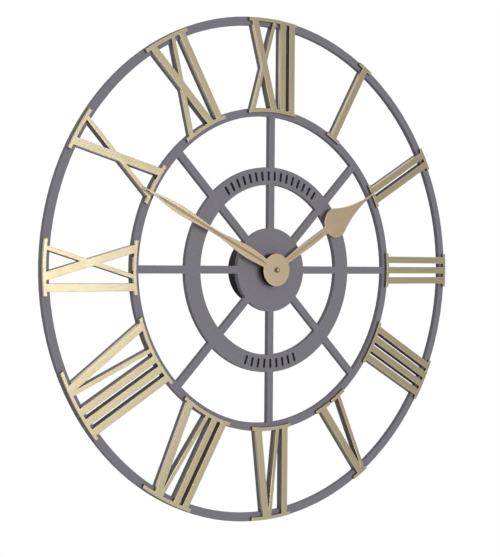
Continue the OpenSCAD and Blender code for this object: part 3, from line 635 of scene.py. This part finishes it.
def contact_springs():
    """Contact strips at both ends of the bay, with a coil spring from one of them to the cell."""
    low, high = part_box("battery_contacts")
    mid_y, mid_z = (low.y + high.y) / 2, (low.z + high.z) / 2
    strip = 0.5 * MM
    corner = 1.2 * MM
    inset = (high.z - low.z) / 2 - corner
    outline = [(mid_y + sy * inset + corner * math.cos(angle), mid_z + sz * inset + corner * math.sin(angle))
               for quarter, (sy, sz) in enumerate(((1, 1), (-1, 1), (-1, -1), (1, -1)))
               for angle in [math.radians(90 * quarter + 15 * k) for k in range(7)]]
    bm = bmesh.new()
    for x0, x1 in ((low.x, low.x + strip), (high.x - strip, high.x)):
        near = [bm.verts.new((x0, y, z)) for y, z in outline]
        far = [bm.verts.new((x1, y, z)) for y, z in outline]
        ends = [bm.faces.new(near[::-1]), bm.faces.new(far)]
        bridge(bm, near, far)
        soften_rims(bm, ends, 0.1 * MM)
    gauge = 0.22 * MM
    start, end = low.x + strip - 0.05 * MM + gauge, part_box("battery")[0].x - gauge
    turns, steps = 2.5, 90
    path = []
    for k in range(steps + 1):
        share = k / steps
        angle = 2 * math.pi * turns * share
        reach = (3.0 - 0.9 * share) * MM
        path.append(Vector((start + (end - start) * share,
                            mid_y + reach * math.cos(angle), mid_z + reach * math.sin(angle))))
    wire(bm, path, gauge)
    add_piece("battery_springs", bm, "battery_contacts", ["zinc_steel"])


back_cover()
setting_knob()
battery_cell()
contact_springs()
rounded_piece("movement_case", 0.4 * MM, "back")


# ---------------------------------------------------------------- camera, fitted to the rings of the dial
FOCAL_PX = 1034.5
IMAGE_H_PX = 557
SENSOR_MM = 36
CAMERA_AZIMUTH, CAMERA_ELEVATION = 37.781, 0.252       # degrees to the left of straight ahead and above level
CAMERA_REACH = 4.1402 * RING_R
VIEW_YAW, VIEW_PITCH, VIEW_ROLL = 36.6180, -0.7371, 0.4109

hub = Vector((0, FACE_Y, HAND_Z))


def seen_from_hub(azimuth, elevation, distance):
    """A place at an angle to the right of straight ahead and above level."""
    a, e = math.radians(azimuth), math.radians(elevation)
    return hub + distance * Vector((math.sin(a) * math.cos(e), -math.cos(a) * math.cos(e), math.sin(e)))


def look(yaw, pitch, roll):
    """The rotation of a camera that looks along +Y, then turned by three angles in degrees."""
    yaw, pitch, roll = map(math.radians, (yaw, pitch, roll))
    forward = Vector((math.sin(yaw), math.cos(yaw), 0))
    right = Vector((math.cos(yaw), -math.sin(yaw), 0))
    up = Vector((0, 0, 1))
    ahead = forward * math.cos(pitch) + up * math.sin(pitch)
    above = up * math.cos(pitch) - forward * math.sin(pitch)
    side = right * math.cos(roll) + above * math.sin(roll)
    top = above * math.cos(roll) - right * math.sin(roll)
    return Matrix((side, top, -ahead)).transposed()


cam_data = bpy.data.cameras.new("camera")
cam_data.sensor_width = SENSOR_MM
cam_data.lens = FOCAL_PX / IMAGE_H_PX * SENSOR_MM
cam_data.clip_start = 0.01
camera = bpy.data.objects.new("camera", cam_data)
bpy.context.scene.collection.objects.link(camera)
place = Matrix.Translation(seen_from_hub(-CAMERA_AZIMUTH, CAMERA_ELEVATION, CAMERA_REACH))
camera.matrix_world = place @ look(VIEW_YAW, VIEW_PITCH, VIEW_ROLL).to_4x4()
bpy.context.scene.camera = camera


# ---------------------------------------------------------------- lights, world and floor
def area(name, place, size_x, size_y, power, glossy):
    """A soft box aimed at the hub. It is never seen itself, and reflected only where glossy."""
    light = bpy.data.lights.new(name, "AREA")
    light.shape = "RECTANGLE"
    light.size = size_x
    light.size_y = size_y
    light.energy = power
    obj = bpy.data.objects.new(name, light)
    obj.location = place
    obj.rotation_euler = (hub - place).to_track_quat("-Z", "Y").to_euler()
    bpy.context.scene.collection.objects.link(obj)
    obj.visible_camera = False
    obj.visible_glossy = glossy


area("glow", seen_from_hub(5, 0, 2.6), 1.35, 0.53, 17, glossy=True)
area("key", seen_from_hub(14, 10, 2.6), 0.8, 0.8, 15, glossy=False)

AMBIENT = 0.33                 # strength of the world on the object
ROOM_DARK = 0.24               # its reflection: dim from in front of the clock, white from behind
ROOM_EDGE = (-0.45, 0.1)       # where that reflection turns from dim to white, by the direction's y

world = bpy.data.worlds.new("world")
bpy.context.scene.world = world
world.use_nodes = True
tree = world.node_tree
background = tree.nodes["Background"]
ray = tree.nodes.new("ShaderNodeLightPath")
where = tree.nodes.new("ShaderNodeTexCoord")
split = tree.nodes.new("ShaderNodeSeparateXYZ")
tree.links.new(where.outputs["Generated"], split.inputs[0])
room = tree.nodes.new("ShaderNodeMapRange")
room.interpolation_type = "SMOOTHSTEP"
room.inputs["From Min"].default_value, room.inputs["From Max"].default_value = ROOM_EDGE
room.inputs["To Min"].default_value, room.inputs["To Max"].default_value = ROOM_DARK, 1.0
tree.links.new(split.outputs["Y"], room.inputs["Value"])


def pick(kind, otherwise, value):
    """A strength for one kind of ray, and another for the rest."""
    made = tree.nodes.new("ShaderNodeMix")
    made.data_type = "FLOAT"
    tree.links.new(ray.outputs[kind], made.inputs["Factor"])
    for key, given in (("A", otherwise), ("B", value)):
        if isinstance(given, (int, float)):
            made.inputs[key].default_value = given
        else:
            tree.links.new(given, made.inputs[key])
    return made.outputs["Result"]


strength = pick("Is Glossy Ray", AMBIENT, room.outputs["Result"])
strength = pick("Is Transmission Ray", strength, 1.0)
strength = pick("Is Camera Ray", strength, 1.0)
tree.links.new(strength, background.inputs["Strength"])
background.inputs["Color"].default_value = (1, 1, 1, 1)

bpy.ops.mesh.primitive_plane_add(size=8, location=(0, 0, -1.3))
floor = bpy.context.object
floor.name = "floor"
shade = Shader("floor_white")
shade.put("Base Color", (0.85, 0.85, 0.85, 1))
shade.put("Roughness", 0.9)
shade.put("Specular IOR Level", 0.0)
white = shade.node("ShaderNodeEmission")
white.inputs["Strength"].default_value = 1.0
seen = shade.node("ShaderNodeMixShader")
shade.link(shade.node("ShaderNodeLightPath").outputs["Is Camera Ray"], seen.inputs[0])
shade.link(shade.bsdf.outputs[0], seen.inputs[1])
shade.link(white.outputs[0], seen.inputs[2])
shade.link(seen.outputs[0], shade.tree.nodes["Material Output"].inputs["Surface"])
floor.data.materials.append(shade.mat)

bpy.context.scene.view_settings.view_transform = "Standard"
